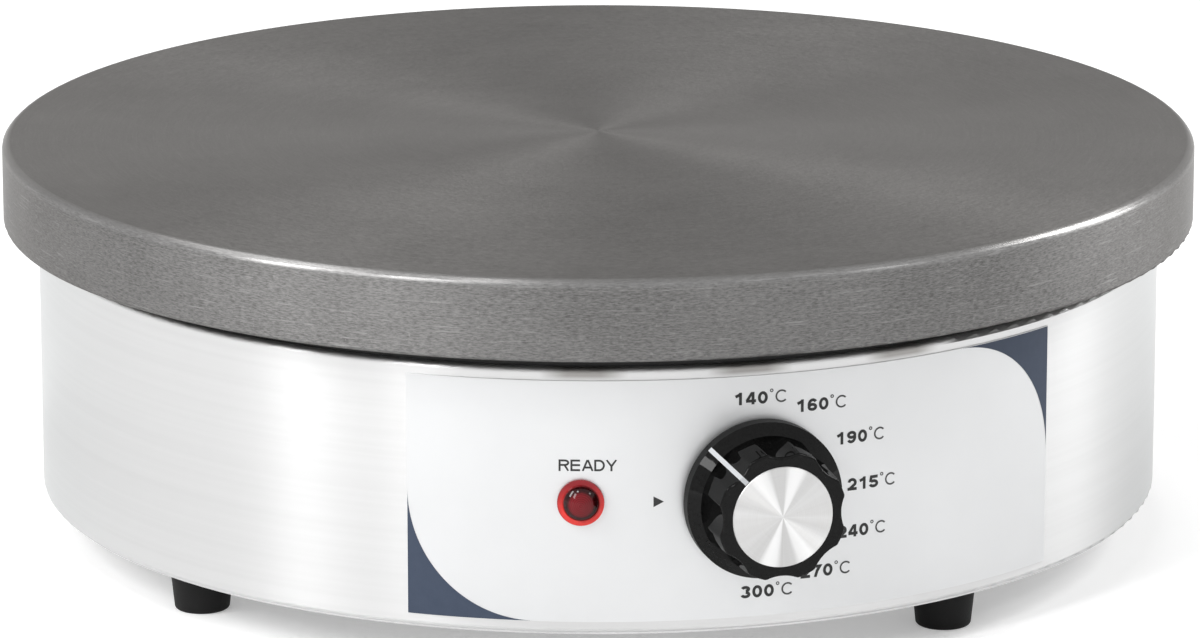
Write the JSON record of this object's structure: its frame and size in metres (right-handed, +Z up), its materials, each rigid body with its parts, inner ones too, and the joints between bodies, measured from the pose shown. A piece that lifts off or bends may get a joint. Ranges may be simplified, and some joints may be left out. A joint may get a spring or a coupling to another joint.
{
  "type": "electric crepe maker",
  "caption": "Round countertop crepe griddle: thick cast-iron plate on a stainless drum with a thermostat knob, pilot lamp and short rubber feet.",
  "frame": {"origin": "on the axis of the plate, on the surface that the feet stand on", "axes": "+Z up through the cooking surface; -Y is the front with the knob; +X to the right seen from the front"},
  "size_m": [0.4, 0.4241, 0.1328],
  "materials": {
    "cast_iron": "fine machined grey iron, slightly satin",
    "gasket_black": "matt black heat-resistant seal",
    "stainless": "brushed stainless sheet",
    "label_silver": "satin silver control label with dark blue corners and dark grey numbers",
    "foot_rubber": "matt black rubber",
    "steel": "zinc-plated steel",
    "element_steel": "dark heat-stained sheath",
    "insulation": "white ceramic fibre",
    "ceramic": "unglazed steatite",
    "brass": "plain brass",
    "copper": "copper tube",
    "switch_body": "pale phenolic moulding",
    "knob_black": "glossy black phenolic",
    "knob_aluminium": "spun aluminium disc",
    "pointer_white": "white filled line",
    "lens_red": "translucent red lens",
    "neon_glass": "clear glass envelope",
    "black_plastic": "black polyamide",
    "lead_sleeve": "silicone and glass-fibre sleeve",
    "earth_sleeve": "green and yellow sleeve"
  },
  "bodies": {
    "housing": {"crepe_plate": "cast_iron", "plate_gasket": "gasket_black", "drum_shell": "stainless", "control_label": "label_silver", "base_plate": "steel", "foot_screws": "steel", "foot_washers": "steel", "foot_nuts": "steel", "plate_studs": "steel", "stud_spacers": "steel", "stud_washers": "steel", "stud_nuts": "steel", "heating_element": "element_steel", "element_clamp_plate": "steel", "clamp_bolt": "steel", "insulation_disc": "insulation", "heat_shield": "steel", "element_insulators": "ceramic", "element_terminals": "brass", "sensing_bulb": "copper", "bulb_clip": "steel", "capillary_tube": "copper", "thermostat_bracket": "steel", "thermostat_frame": "steel", "thermostat_body": "switch_body", "thermostat_nut": "brass", "thermostat_blades": "brass", "lamp_lens": "lens_red", "lamp_body": "black_plastic", "lamp_nut": "black_plastic", "lamp_neon": "neon_glass", "lamp_blades": "brass", "gland_body": "black_plastic", "gland_seal": "gasket_black", "gland_dome_nut": "black_plastic", "gland_locknut": "black_plastic", "safety_cutout": "ceramic", "cutout_screws": "steel", "terminal_block": "switch_body", "terminal_block_screws": "brass", "earth_stud": "brass", "earth_nut": "brass", "live_lead": "lead_sleeve", "cutout_lead": "lead_sleeve", "switched_lead": "lead_sleeve", "neutral_lead": "lead_sleeve", "lamp_leads": "lead_sleeve", "earth_lead": "earth_sleeve", "rubber_foot_front_right": "foot_rubber", "rubber_foot_back_right": "foot_rubber", "rubber_foot_back_left": "foot_rubber", "rubber_foot_front_left": "foot_rubber", "support_bracket_1": "steel", "support_bracket_2": "steel", "support_bracket_3": "steel", "support_bracket_4": "steel"},
    "knob": {"thermostat_shaft": "steel", "knob_body": "knob_black", "knob_cap": "knob_aluminium", "knob_pointer": "pointer_white"}
  },
  "joints": [
    {"name": "knob_turn", "type": "hinge", "parent": "housing", "child": "knob", "pos_m": [0, -0.1883, 0.0582], "axis": [0, 1, 0], "range_deg": [-45, 225]}
  ]
}
